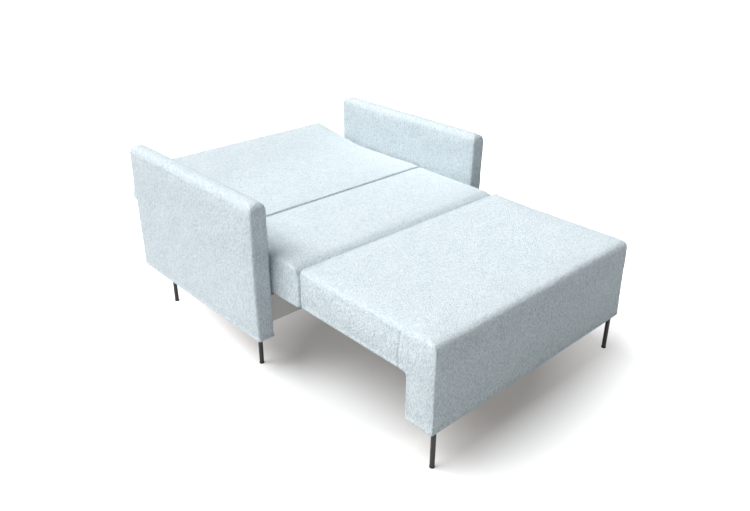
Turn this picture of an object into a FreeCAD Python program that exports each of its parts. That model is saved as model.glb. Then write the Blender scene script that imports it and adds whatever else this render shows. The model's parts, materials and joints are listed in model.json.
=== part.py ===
import FreeCAD, Part
import math
import os

# Two-seat sofa bed that opens towards the front, drawn in its flat bed state.
# X runs across the bed, Y from the foot end to the head end, Z up from the floor.
# Y is drawn from the front plane of the arms, and the finished part is centred at the end.

# Pads
pad_width = 1074.0
pad_top = 474.0
middle_thickness = 155.0
front_thickness = 149.0
front_depth = 641.0
middle_depth = 447.0
back_flat_depth = 440.0
head_depth = 350.0
head_tilt = 8.5
middle_overhang = 145.0
valley_gap = 2.0
seam_gap = 1.0
apron_depth = 120.0
apron_clearance = 149.0
crown = 3.0
end_round = 16.0
valley_round = 24.0
front_round = 44.0
seam_round = 12.0
inner_round = 18.0
head_round = 30.0
bend_round = 300.0

# Plywood boards let into the undersides
panel_thickness = 12.0
panel_inset = 26.0
pocket_clearance = 0.3

# Arms
side_gap = 5.0
arm_thickness = 76.0
arm_depth = 882.0
arm_bottom = 141.0
arm_top = 684.0
arm_corner_round = 36.0
arm_edge_round = 24.0
sill_thickness = 18.0
sill_inset = 10.0

# Base between the arms
board_thickness = 18.0
board_bottom = 143.0
side_board_top = 312.0
cross_board_top = 258.0
base_front = 93.0
base_depth = 580.0
bearer_width = 42.0
bearer_height = 42.0
rest_pad_length = 60.0
rest_pad_width = 34.0
rest_clearance = 0.3

# Legs
leg_radius = 8.5
leg_plate_size = 28.0
leg_plate_thickness = 4.0
glide_radius = 9.5
glide_thickness = 4.0
arm_leg_inset = 25.0
arm_leg_front = 70.0
arm_leg_rear = 713.0
front_leg_side_inset = 34.0
front_leg_setback = 13.5
rail_height = 34.0
rail_inset = 7.0

# Telescopic runners
front_travel = 755.0
sheet = 2.0
channel_height = 34.0
channel_depth = 14.0
channel_bottom = 282.0
runner_clearance = 0.4
slider_share = 0.5
web_offset = 3.0
rail_flange = 26.0
rail_setback = 22.0
rail_tail = 58.0
ledge_width = 20.0
web_rise = 8.0
rail_end_gap = 2.0

# Lifting linkage
pivot_height = 305.0
pivot_lead = 170.0
pivot_travel = 211.0
tube_radius = 9.0
tube_bore = 7.0
pin_clearance = 0.05
hub_radius = 14.0
lever_place = 400.0
lever_thickness = 8.0
lever_height = 14.0
lever_tail = 205.0
lever_flange = 40.0
lever_slot_clearance = 5.0
lever_slot_rise = 66.0
lever_slot_run = 60.0
lever_slot_toe = 4.0
lever_flange_thickness = 3.0
hub_overhang = 3.0
block_width = 16.0
block_length = 34.0
tube_end_gap = 1.0
lift_angle = 81.0

# Fold hinges between the middle and the back
hinge_drop = 10.0
knuckle_radius = 9.5
hinge_pin_radius = 3.0
hinge_width = 60.0
hinge_leaf = 58.0
leaf_thickness = 4.0
knuckle_count = 3
hinge_count = 2
hinge_pitch = 640.0
knuckle_gap = 0.4
leaf_gap = 1.0
tongue_step = 0.5

# Bolts
bolt_radius = 4.0
bolt_head_radius = 8.0
bolt_head = 5.0
bolt_grip = 34.0
bolt_count = 3
bolt_end_margin = 80.0
bolt_rise = 70.0
bolt_hole_depth = 2.0

# Overrun of every cutting shape
over = 1.0

# Places worked out from the sizes above
half_width = pad_width / 2
arm_inner = half_width + side_gap
middle_bottom = pad_top - middle_thickness
front_bottom = pad_top - front_thickness
middle_front = -middle_overhang
middle_rear = middle_front + middle_depth
front_rear = middle_front - valley_gap
front_face = front_rear - front_depth
apron_rear = front_face + apron_depth
back_front = middle_rear + seam_gap
bend_y = back_front + back_flat_depth
base_rear = base_front + base_depth
channel_top = channel_bottom + channel_height
board_inner = arm_inner - board_thickness
bearer_inner = board_inner - bearer_width
pivot_y = middle_front - pivot_lead
hinge_y = middle_rear + seam_gap / 2
hinge_z = middle_bottom - hinge_drop
web_outer = bearer_inner - channel_depth - web_offset
rail_rear = front_rear + rail_tail
SIDES = (("left", -1), ("right", 1))


def box(x0, x1, y0, y1, z0, z1):
    """Box between two opposite corners, given in any order."""
    low = FreeCAD.Vector(min(x0, x1), min(y0, y1), min(z0, z1))
    return Part.makeBox(abs(x1 - x0), abs(y1 - y0), abs(z1 - z0), low)


def rod_x(x0, x1, y, z, radius):
    """Round bar along X."""
    start = FreeCAD.Vector(min(x0, x1), y, z)
    return Part.makeCylinder(radius, abs(x1 - x0), start, FreeCAD.Vector(1, 0, 0))


def rod_z(x, y, z0, z1, radius):
    """Round bar standing along Z."""
    return Part.makeCylinder(radius, z1 - z0, FreeCAD.Vector(x, y, z0))


def plate(x, y, z, size, thickness):
    """Square plate lying level, centred on x and y."""
    half = size / 2
    return box(x - half, x + half, y - half, y + half, z, z + thickness)


def corner_arc(before, corner, after, radius):
    """Start, middle and end points of the arc that rounds one corner, all the same where it is sharp."""
    if not radius:
        return corner, corner, corner
    to_before = (before - corner).normalize()
    to_after = (after - corner).normalize()
    half = to_before.getAngle(to_after) / 2
    reach = radius / math.tan(half)
    bisector = (to_before + to_after).normalize()
    middle = corner + bisector * (radius / math.sin(half) - radius)
    return corner + to_before * reach, middle, corner + to_after * reach


def side_profile(corners):
    """Closed outline in the YZ plane from (y, z, radius, bulge of the edge that follows)."""
    points = [FreeCAD.Vector(0, y, z) for y, z, radius, bulge in corners]
    count = len(points)
    arcs = []
    for i, (y, z, radius, bulge) in enumerate(corners):
        arcs.append(corner_arc(points[i - 1], points[i], points[(i + 1) % count], radius))
    edges = []
    for i, (y, z, radius, bulge) in enumerate(corners):
        start, middle, end = arcs[i]
        following = arcs[(i + 1) % count][0]
        if corners[i][2]:
            edges.append(Part.Arc(start, middle, end).toShape())
        if bulge:
            along = (following - end).normalize()
            outward = FreeCAD.Vector(0, -along.z, along.y)
            swell = (end + following) / 2 + outward * bulge
            edges.append(Part.Arc(end, swell, following).toShape())
        else:
            edges.append(Part.LineSegment(end, following).toShape())
    return Part.Wire(edges)


def upholstered(profile, x0, x1, rounding):
    """Padded block: an outline drawn out along X with both ends rounded over."""
    length = x1 - x0
    face = Part.Face(profile)
    face.translate(FreeCAD.Vector(x0, 0, 0))
    block = face.extrude(FreeCAD.Vector(length, 0, 0))
    ends = []
    for edge in block.Edges:
        reach = edge.BoundBox
        if reach.XLength < 0.001:
            ends.append(edge)
    return block.makeFillet(rounding, ends)


def tilted(shape):
    """Turn a shape drawn level behind the bend up by the head tilt."""
    turned = shape.copy()
    turned.rotate(FreeCAD.Vector(0, bend_y, middle_bottom), FreeCAD.Vector(1, 0, 0), head_tilt)
    return turned


def tilted_point(y, z):
    """Side-view place of a point drawn level behind the bend, once turned up."""
    angle = math.radians(head_tilt)
    run = y - bend_y
    rise = z - middle_bottom
    turned_y = bend_y + run * math.cos(angle) - rise * math.sin(angle)
    return turned_y, middle_bottom + run * math.sin(angle) + rise * math.cos(angle)


def panel_pocket(panel):
    """Hollow that a let-in board needs."""
    reach = panel.BoundBox
    grow = pocket_clearance
    return box(reach.XMin - grow, reach.XMax + grow, reach.YMin - grow, reach.YMax + grow,
               reach.ZMin - grow, reach.ZMax + grow)


def front_panel():
    """Plywood seat board under the front pad, slotted for the two levers."""
    panel = box(-half_width + panel_inset, half_width - panel_inset, apron_rear + panel_inset,
                front_rear - panel_inset, front_bottom, front_bottom + panel_thickness)
    return panel.cut(lever_slots())


def lever_slots():
    """Two narrow slots in which the levers swing up past the rear edge of the seat."""
    half = lever_thickness / 2 + lever_slot_clearance
    lead = pivot_y - hub_radius - lever_slot_clearance
    rise = front_bottom + lever_slot_rise
    corners = [FreeCAD.Vector(0, lead, front_bottom - over),
               FreeCAD.Vector(0, front_rear + over, front_bottom - over),
               FreeCAD.Vector(0, front_rear + over, rise),
               FreeCAD.Vector(0, front_rear - lever_slot_run, rise),
               FreeCAD.Vector(0, lead, front_bottom + lever_slot_toe)]
    face = Part.Face(Part.makePolygon(corners + corners[:1]))
    slots = []
    for name, side in SIDES:
        slot = face.copy()
        slot.translate(FreeCAD.Vector(side * lever_place - half, 0, 0))
        slots.append(slot.extrude(FreeCAD.Vector(2 * half, 0, 0)))
    return Part.makeCompound(slots)


def apron_rail():
    """Timber rail in the foot of the apron that takes the front legs."""
    rail = box(-half_width + rail_inset, half_width - rail_inset, front_face + rail_inset,
               apron_rear - rail_inset, apron_clearance, apron_clearance + rail_height)
    for name, side in SIDES:
        x, y = front_leg_place(side)
        rail = rail.cut(plate_pocket(x, y, apron_clearance))
    return rail


def front_pad():
    """Front section: the seat in the sofa state, with its apron down the front."""
    profile = side_profile([
        (front_face, apron_clearance, 0, 0),
        (front_face, pad_top, front_round, crown),
        (front_rear, pad_top, valley_round, 0),
        (front_rear, front_bottom, 0, 0),
        (apron_rear, front_bottom, inner_round, 0),
        (apron_rear, apron_clearance, 0, 0),
    ])
    pad = upholstered(profile, -half_width, half_width, end_round)
    panel = front_panel()
    return pad.cut(panel_pocket(panel)).cut(lever_slots()).cut(panel_pocket(apron_rail()))


def middle_panel():
    """Plywood board under the middle pad."""
    return box(-half_width + panel_inset, half_width - panel_inset, middle_front + panel_inset,
               middle_rear - panel_inset, middle_bottom, middle_bottom + panel_thickness)


def middle_pad():
    """Middle section: the backrest in the sofa state."""
    profile = side_profile([
        (middle_front, middle_bottom, 0, 0),
        (middle_front, pad_top, front_round, crown),
        (middle_rear, pad_top, seam_round, 0),
        (middle_rear, middle_bottom, 0, 0),
    ])
    pad = upholstered(profile, -half_width, half_width, end_round / 2)
    return pad.cut(panel_pocket(middle_panel()))


def back_panel():
    """Plywood board under the level part of the back section."""
    return box(-half_width + panel_inset, half_width - panel_inset, back_front + panel_inset,
               bend_y - panel_inset / 2, middle_bottom, middle_bottom + panel_thickness)


def level_head_panel():
    """Board of the head part before it is turned up."""
    return box(-half_width + panel_inset, half_width - panel_inset, bend_y + panel_inset / 2,
               bend_y + head_depth - panel_inset, middle_bottom, middle_bottom + panel_thickness)


def head_panel():
    """Plywood board under the raised head part."""
    return tilted(level_head_panel())


def back_pad():
    """Back section: level next to the middle, then bent up towards the head end."""
    end_y, end_z = tilted_point(bend_y + head_depth, middle_bottom)
    top_y, top_z = tilted_point(bend_y + head_depth, pad_top)
    inner = middle_thickness * math.tan(math.radians(head_tilt / 2))
    profile = side_profile([
        (back_front, middle_bottom, 0, 0),
        (back_front, pad_top, seam_round, crown / 2),
        (bend_y - inner, pad_top, bend_round, 0),
        (top_y, top_z, head_round, 0),
        (end_y, end_z, 0, 0),
        (bend_y, middle_bottom, bend_round, 0),
    ])
    pad = upholstered(profile, -half_width, half_width, end_round / 2)
    return pad.cut(panel_pocket(back_panel())).cut(tilted(panel_pocket(level_head_panel())))


def arm_sill(side):
    """Timber board let into the foot of an arm."""
    return box(side * (arm_inner + sill_inset), side * (arm_inner + arm_thickness - sill_inset),
               sill_inset, arm_depth - sill_inset, arm_bottom, arm_bottom + sill_thickness)


def arm(side):
    """Slim upholstered arm with rounded top edges."""
    x0 = min(side * arm_inner, side * (arm_inner + arm_thickness))
    profile = side_profile([
        (0, arm_bottom, 0, 0),
        (0, arm_top, arm_corner_round, 0),
        (arm_depth, arm_top, arm_corner_round, 0),
        (arm_depth, arm_bottom, 0, 0),
    ])
    body = upholstered(profile, x0, x0 + arm_thickness, arm_edge_round)
    body = body.cut(panel_pocket(arm_sill(side)))
    for y, z in bolt_places():
        body = body.cut(rod_x(side * (arm_inner - over), side * (board_inner + bolt_grip + bolt_hole_depth),
                              y, z, bolt_radius + pocket_clearance))
    return body


def seated_sill(side):
    """Arm board with the two pockets for the leg plates."""
    sill = arm_sill(side)
    for y in (arm_leg_front, arm_leg_rear):
        x, leg_y = arm_leg_place(side, y)
        sill = sill.cut(plate_pocket(x, leg_y, arm_bottom))
    return sill


def leg(x, y, top):
    """Round steel leg with the square plate that is screwed up into the timber."""
    head = plate(x, y, top, leg_plate_size, leg_plate_thickness)
    return rod_z(x, y, glide_thickness, top, leg_radius).fuse(head).removeSplitter()


def plate_pocket(x, y, bottom):
    """Recess that takes the plate of one leg."""
    return plate(x, y, bottom, leg_plate_size + 2 * pocket_clearance, leg_plate_thickness)


def glide(x, y):
    """Plastic foot under a leg."""
    return rod_z(x, y, 0, glide_thickness, glide_radius)


def front_leg_place(side):
    """Plan place of a front leg."""
    return side * (half_width - front_leg_side_inset), front_face + front_leg_setback + leg_radius


def arm_leg_place(side, y):
    """Plan place of a leg under an arm."""
    return side * (arm_inner + arm_leg_inset), y


def side_board(side):
    """Board bolted to the inside of an arm, which carries the bearer and its runner."""
    board = box(side * board_inner, side * arm_inner, base_front, base_rear, board_bottom, side_board_top)
    for y, z in bolt_places():
        board = board.cut(rod_x(side * (board_inner - over), side * (arm_inner + over), y, z,
                                bolt_radius + pocket_clearance))
    return board


def cross_board(y):
    """Board across the base between the two side boards."""
    return box(-board_inner, board_inner, y, y + board_thickness, board_bottom, cross_board_top)


def bolt_places():
    """Side-view places of the bolts that hold an arm to its side board."""
    step = (base_depth - 2 * bolt_end_margin) / (bolt_count - 1)
    first = base_front + bolt_end_margin
    return [(first + i * step, board_bottom + bolt_rise) for i in range(bolt_count)]


def hexagon(x0, x1, y, z, radius):
    """Six-sided bar along X, as on the head of a bolt."""
    corners = []
    for i in range(6):
        angle = math.radians(60 * i)
        place = FreeCAD.Vector(min(x0, x1), y + radius * math.cos(angle), z + radius * math.sin(angle))
        corners.append(place)
    face = Part.Face(Part.makePolygon(corners + corners[:1]))
    return face.extrude(FreeCAD.Vector(abs(x1 - x0), 0, 0))


def arm_bolts():
    """Bolts through the side boards into the arms."""
    bolts = []
    for name, side in SIDES:
        for y, z in bolt_places():
            head = hexagon(side * (board_inner - bolt_head), side * board_inner, y, z, bolt_head_radius)
            shank = rod_x(side * board_inner, side * (board_inner + bolt_grip), y, z, bolt_radius)
            bolts.append(head.fuse(shank).removeSplitter())
    return Part.makeCompound(bolts)


def rest_pads():
    """Felt pads on the bearers, on which the middle and back rest in the bed state."""
    pads = []
    reach = rest_pad_length / 2
    near = bearer_inner + (bearer_width - rest_pad_width) / 2
    places = (base_front + reach, middle_rear - rest_pad_length, middle_rear + rest_pad_length,
              base_rear - reach)
    for name, side in SIDES:
        for y in places:
            pads.append(box(side * near, side * (near + rest_pad_width), y - reach, y + reach,
                            side_board_top, middle_bottom - rest_clearance))
    return Part.makeCompound(pads)


def bearer(side):
    """Timber bearer along a side board, which packs the runner out from the arm."""
    return box(side * bearer_inner, side * board_inner, base_front, base_rear,
               side_board_top - bearer_height, side_board_top)


def channel_section(side, outer_x, depth, bottom, top, y0, y1):
    """Rolled C-section with its back on outer_x and its open side towards the middle."""
    block = box(side * outer_x, side * (outer_x - depth), y0, y1, bottom, top)
    hollow = box(side * (outer_x - sheet), side * (outer_x - depth - over), y0 - over, y1 + over,
                 bottom + sheet, top - sheet)
    return block.cut(hollow)


def runner_channel(side):
    """Fixed outer member of a runner."""
    return channel_section(side, bearer_inner, channel_depth, channel_bottom, channel_top,
                           base_front, base_rear)


def runner_slider(side):
    """Middle member, half way out in the bed state."""
    start = base_front - front_travel * slider_share
    inset = sheet + runner_clearance
    return channel_section(side, bearer_inner - inset, channel_depth - inset, channel_bottom + inset,
                           channel_top - inset, start, start + base_depth)


def seat_rail(side):
    """Inner member of a runner: runs in the slider, carries the seat and guides the pivot block."""
    inset = 2 * (sheet + runner_clearance)
    low = channel_bottom + inset
    high = channel_top - inset
    web_inner = web_outer - sheet
    y0 = apron_rear + rail_setback
    tongue = box(side * (bearer_inner - inset), side * web_outer, y0, rail_rear, low, high)
    groove = box(side * (bearer_inner - inset + over), side * (web_outer + sheet), y0 - over,
                 rail_rear + over, low + sheet, high - sheet)
    lower_web = box(side * web_outer, side * web_inner, y0, rail_rear, low, pivot_height + web_rise)
    seat_end = front_rear - rail_end_gap
    upper_web = box(side * web_outer, side * web_inner, y0, seat_end, low, front_bottom)
    flange = box(side * web_outer, side * (web_outer - rail_flange), y0, seat_end,
                 front_bottom - sheet, front_bottom)
    ledge = box(side * web_outer, side * (web_outer - ledge_width), y0, rail_rear,
                ledge_top() - sheet, ledge_top())
    rail = tongue.cut(groove).fuse([lower_web, upper_web, flange, ledge])
    return rail.removeSplitter()


def ledge_top():
    """Height of the ledge that the pivot block slides on."""
    return pivot_height - hub_radius - runner_clearance


def pivot_block(side):
    """Nylon block that slides on the ledge of the seat rail and holds the pivot tube."""
    outer = web_outer - sheet - runner_clearance
    block = box(side * outer, side * (outer - block_width), pivot_y - block_length / 2,
                pivot_y + block_length / 2, pivot_height - hub_radius, pivot_height + hub_radius)
    return block.cut(rod_x(-half_width, half_width, pivot_y, pivot_height, tube_radius + pin_clearance))


def pivot_tube():
    """Steel tube across the bed that joins the two pivot blocks."""
    end = web_outer - sheet - runner_clearance - tube_end_gap
    outer = rod_x(-end, end, pivot_y, pivot_height, tube_radius)
    return outer.cut(rod_x(-end - over, end + over, pivot_y, pivot_height, tube_bore))


def lift_lever(side):
    """Flat steel lever from the pivot tube to the underside of the middle section."""
    x0 = side * lever_place - lever_thickness / 2
    bar = box(x0, x0 + lever_thickness, pivot_y, middle_front + lever_tail,
              middle_bottom - lever_height, middle_bottom)
    hub_start = x0 - hub_overhang
    hub_end = x0 + lever_thickness + hub_overhang
    hub = rod_x(hub_start, hub_end, pivot_y, pivot_height, hub_radius)
    centre = side * lever_place
    flange = box(centre - lever_flange / 2, centre + lever_flange / 2, middle_front + panel_inset,
                 middle_front + lever_tail, middle_bottom - lever_flange_thickness, middle_bottom)
    lever = bar.fuse([hub, flange]).removeSplitter()
    return lever.cut(rod_x(hub_start - over, hub_end + over, pivot_y, pivot_height,
                           tube_radius + pin_clearance))


def hinge_centres():
    """Places across the bed of the fold hinges."""
    return [(i - (hinge_count - 1) / 2) * hinge_pitch for i in range(hinge_count)]


def hinge_half(direction, parity):
    """Leaves and knuckles of one side of every fold hinge."""
    halves = []
    pitch = hinge_width / knuckle_count
    for centre in hinge_centres():
        x0 = centre - hinge_width / 2
        near = hinge_y + direction * (knuckle_radius + leaf_gap)
        half = box(x0, x0 + hinge_width, near, near + direction * hinge_leaf,
                   middle_bottom - leaf_thickness, middle_bottom)
        pieces = []
        for i in range(parity, knuckle_count, 2):
            left = x0 + i * pitch + knuckle_gap / 2
            right = x0 + (i + 1) * pitch - knuckle_gap / 2
            pieces.append(rod_x(left, right, hinge_y, hinge_z, knuckle_radius))
            pieces.append(box(left, right, hinge_y + direction * knuckle_radius / 2, near,
                              middle_bottom - leaf_thickness, middle_bottom - tongue_step))
        half = half.fuse(pieces).removeSplitter()
        halves.append(half.cut(rod_x(x0 - over, x0 + hinge_width + over, hinge_y, hinge_z,
                                     hinge_pin_radius + pin_clearance)))
    return Part.makeCompound(halves)


def hinge_pins():
    """Pins of the fold hinges."""
    return Part.makeCompound([rod_x(centre - hinge_width / 2, centre + hinge_width / 2, hinge_y,
                                    hinge_z, hinge_pin_radius) for centre in hinge_centres()])


def build_base():
    """Everything that stays where it stands."""
    nodes = {
        "base_front_board": cross_board(base_front),
        "base_rear_board": cross_board(base_rear - board_thickness),
        "arm_bolts": arm_bolts(),
        "rest_pads": rest_pads(),
    }
    glides = []
    for name, side in SIDES:
        nodes[name + "_arm"] = arm(side)
        nodes[name + "_arm_sill"] = seated_sill(side)
        nodes[name + "_side_board"] = side_board(side)
        nodes[name + "_bearer"] = bearer(side)
        nodes[name + "_runner_channel"] = runner_channel(side)
        for place, y in (("front", arm_leg_front), ("rear", arm_leg_rear)):
            x, leg_y = arm_leg_place(side, y)
            nodes[name + "_arm_leg_" + place] = leg(x, leg_y, arm_bottom)
            glides.append(glide(x, leg_y))
    nodes["arm_leg_glides"] = Part.makeCompound(glides)
    return nodes


def build_front():
    """The section that is pulled out on its own legs."""
    nodes = {"front_pad": front_pad(), "front_panel": front_panel(), "apron_rail": apron_rail()}
    glides = []
    for name, side in SIDES:
        x, y = front_leg_place(side)
        nodes[name + "_front_leg"] = leg(x, y, apron_clearance)
        nodes[name + "_seat_rail"] = seat_rail(side)
        glides.append(glide(x, y))
    nodes["front_leg_glides"] = Part.makeCompound(glides)
    return nodes


def build_linkage():
    """Sliders of the runners and the pivot that the middle section swings on."""
    nodes = {"pivot_tube": pivot_tube()}
    for name, side in SIDES:
        nodes[name + "_runner_slider"] = runner_slider(side)
        nodes[name + "_pivot_block"] = pivot_block(side)
    return nodes


def build_middle():
    """Middle section with its levers and its half of the fold hinges."""
    nodes = {"middle_pad": middle_pad(), "middle_panel": middle_panel()}
    for name, side in SIDES:
        nodes[name + "_lift_lever"] = lift_lever(side)
    nodes["middle_hinge_leaves"] = hinge_half(-1, 0)
    nodes["hinge_pins"] = hinge_pins()
    return nodes


def build_back():
    """Back section with its half of the fold hinges."""
    return {
        "back_pad": back_pad(),
        "back_panel": back_panel(),
        "head_panel": head_panel(),
        "back_hinge_leaves": hinge_half(1, 1),
    }


def centre_shift(nodes):
    """Move that brings the middle of the whole part's footprint to the origin."""
    whole = FreeCAD.BoundBox()
    for shape in nodes.values():
        whole.add(shape.BoundBox)
    return FreeCAD.Vector(0, -(whole.YMin + whole.YMax) / 2, 0)


def main():
    nodes = {}
    for build in (build_base, build_front, build_linkage, build_middle, build_back):
        nodes.update(build())
    shift = centre_shift(nodes)
    os.makedirs("parts", exist_ok=True)
    for name, shape in nodes.items():
        placed = shape.copy()
        placed.translate(shift)
        placed.exportStep("parts/" + name + ".step")
    print("moved along Y by", round(shift.y, 4))


main()
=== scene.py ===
"""Looks of the pull-out sofa bed: upholstery, timber, steel, floor, light and camera."""

import json
import logging
import math
from dataclasses import dataclass, field
from enum import Enum
from typing import Callable, Iterable, Sequence

import bmesh
import bpy
import numpy as np
from mathutils import Matrix, Vector

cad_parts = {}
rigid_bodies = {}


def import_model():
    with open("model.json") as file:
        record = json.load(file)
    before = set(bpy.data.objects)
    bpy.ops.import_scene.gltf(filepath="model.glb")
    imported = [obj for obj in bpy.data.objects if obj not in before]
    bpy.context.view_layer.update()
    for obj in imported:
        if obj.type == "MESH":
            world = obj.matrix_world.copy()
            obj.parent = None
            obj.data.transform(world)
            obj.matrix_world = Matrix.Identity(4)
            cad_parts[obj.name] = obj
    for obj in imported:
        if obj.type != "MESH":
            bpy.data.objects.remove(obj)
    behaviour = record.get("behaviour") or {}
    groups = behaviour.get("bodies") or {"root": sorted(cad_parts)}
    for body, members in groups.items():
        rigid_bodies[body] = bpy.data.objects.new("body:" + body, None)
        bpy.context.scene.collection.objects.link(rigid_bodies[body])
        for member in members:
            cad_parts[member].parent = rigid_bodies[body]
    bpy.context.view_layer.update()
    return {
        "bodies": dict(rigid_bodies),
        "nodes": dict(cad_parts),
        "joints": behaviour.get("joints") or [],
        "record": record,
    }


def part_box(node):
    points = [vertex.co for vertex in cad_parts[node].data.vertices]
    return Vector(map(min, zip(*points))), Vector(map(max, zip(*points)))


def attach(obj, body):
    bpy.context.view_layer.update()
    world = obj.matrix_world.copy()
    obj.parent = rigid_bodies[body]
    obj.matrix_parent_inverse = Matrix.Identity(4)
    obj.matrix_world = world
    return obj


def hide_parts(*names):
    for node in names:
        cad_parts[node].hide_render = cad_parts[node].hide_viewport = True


LOG = logging.getLogger("sofa_bed")
Point = tuple[float, float, float]
Colour = tuple[float, float, float]
Span = tuple[float, float]
BLACK = (0.0, 0.0, 0.0)
WHITE = (1.0, 1.0, 1.0)

# Distance from a flat face up to which the cover is held fully, and where the hold ends.
HOLD_FULL = 0.006
HOLD_FACE = 0.016
HOLD_LEVEL = 0.020

# Room that each of two touching sections leaves at their common face.
FACE_TO_FACE = 0.0012


class Cut(Enum):
    """How the outline of a padded block is finished at one corner."""

    SHARP = 0.003
    CRISP = 0.008
    SMALL = 0.012
    SOFT = 0.018
    MEDIUM = 0.024
    FULL = 0.030
    ROUND = 0.036
    BROAD = 0.044
    DEEP = 0.058


class Value:
    """A socket of a material, with arithmetic that adds Math nodes."""

    def __init__(self, graph: "Graph", socket: bpy.types.NodeSocket) -> None:
        """Keep the graph and the output socket that this value stands for."""
        self.graph = graph
        self.socket = socket

    def _math(self, operation: str, *operands: "Value | float") -> "Value":
        """Add one Math node.

        Args:
            operation: Blender's name of the operation.
            operands: values or numbers, in the node's order.

        Returns:
            The node's result.
        """
        sockets = {i: operand for i, operand in enumerate(operands)}
        return self.graph.node("ShaderNodeMath", {"operation": operation}, sockets)

    def __add__(self, other: "Value | float") -> "Value":
        """Sum with another value."""
        return self._math("ADD", self, other)

    __radd__ = __add__

    def __sub__(self, other: "Value | float") -> "Value":
        """Difference from another value."""
        return self._math("SUBTRACT", self, other)

    def __rsub__(self, other: float) -> "Value":
        """A number less this value."""
        return self._math("SUBTRACT", other, self)

    def __mul__(self, other: "Value | float") -> "Value":
        """Product with another value."""
        return self._math("MULTIPLY", self, other)

    __rmul__ = __mul__

    def between(self, low: float, high: float) -> "Value":
        """Stretch the range from low to high over 0 to 1, clamped."""
        sockets = {"Value": self, "From Min": low, "From Max": high}
        return self.graph.node("ShaderNodeMapRange", {"clamp": True}, sockets)


class Graph:
    """Node tree of one material."""

    def __init__(self, name: str, tree: bpy.types.NodeTree | None = None) -> None:
        """Make an empty node material, or empty a tree that is given.

        Args:
            name: name of the material.
            tree: tree to fill in place of a new material's.
        """
        self.material = None
        if tree is None:
            self.material = bpy.data.materials.new(name)
            self.material.use_nodes = True
            tree = self.material.node_tree
        self.tree = tree
        self.tree.nodes.clear()

    def node(self, kind: str, settings: dict | None = None, sockets: dict | None = None,
             output: str | int = 0) -> Value:
        """Add a node.

        Args:
            kind: type name of the node.
            settings: properties that are set first.
            sockets: inputs by name or number, each a number, a tuple or a Value.
            output: which output to return.

        Returns:
            The chosen output as a Value.
        """
        made = self.tree.nodes.new(kind)
        for key, value in (settings or {}).items():
            setattr(made, key, value)
        for key, value in (sockets or {}).items():
            if isinstance(value, Value):
                self.tree.links.new(value.socket, made.inputs[key])
            else:
                made.inputs[key].default_value = value
        return Value(self, made.outputs[output] if made.outputs else None)

    def place(self, scale: Point = (1.0, 1.0, 1.0)) -> Value:
        """Coordinates on the piece, in metres times scale."""
        coordinates = self.node("ShaderNodeTexCoord", output="Object")
        return self.node("ShaderNodeMapping", None, {"Vector": coordinates, "Scale": scale})

    def noise(self, place: Value, scale: float, detail: float = 2.0, roughness: float = 0.5,
              output: str | int = 0) -> Value:
        """Soft noise from 0 to 1 at so many waves to the metre."""
        sockets = {"Vector": place, "Scale": scale, "Detail": detail, "Roughness": roughness}
        return self.node("ShaderNodeTexNoise", None, sockets, output)

    def cells(self, place: Value, scale: float) -> Value:
        """Distance to the nearest cell centre at so many cells to the metre."""
        return self.node("ShaderNodeTexVoronoi", None, {"Vector": place, "Scale": scale})

    def mix(self, factor: Value | float, low: Value | Colour, high: Value | Colour) -> Value:
        """Blend two colours.

        Args:
            factor: share of the second colour.
            low: first colour.
            high: second colour.

        Returns:
            The blended colour.
        """
        made = self.tree.nodes.new("ShaderNodeMix")
        made.data_type = "RGBA"
        for key, value in ((0, factor), (6, low), (7, high)):
            if isinstance(value, Value):
                self.tree.links.new(value.socket, made.inputs[key])
            else:
                made.inputs[key].default_value = value if key == 0 else (*value, 1.0)
        return Value(self, made.outputs[2])

    def bump(self, height: Value, depth: float, strength: float = 1.0) -> Value:
        """Normal from a height field of the given depth in metres."""
        sockets = {"Height": height, "Distance": depth, "Strength": strength}
        return self.node("ShaderNodeBump", None, sockets)

    def surface(self, **sockets: "Value | float | Colour") -> bpy.types.Material:
        """Close the tree with a Principled shader.

        Args:
            sockets: inputs by name, with underscores for spaces.

        Returns:
            The finished material.
        """
        named = {}
        for key, value in sockets.items():
            named[key.replace("_", " ")] = (*value, 1.0) if isinstance(value, tuple) else value
        shader = self.node("ShaderNodeBsdfPrincipled", None, named)
        self.node("ShaderNodeOutputMaterial", None, {"Surface": shader})
        return self.material


def dimmed(colour: Colour, share: float) -> Colour:
    """A colour at a share of its brightness."""
    return tuple(share * part for part in colour)


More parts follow.
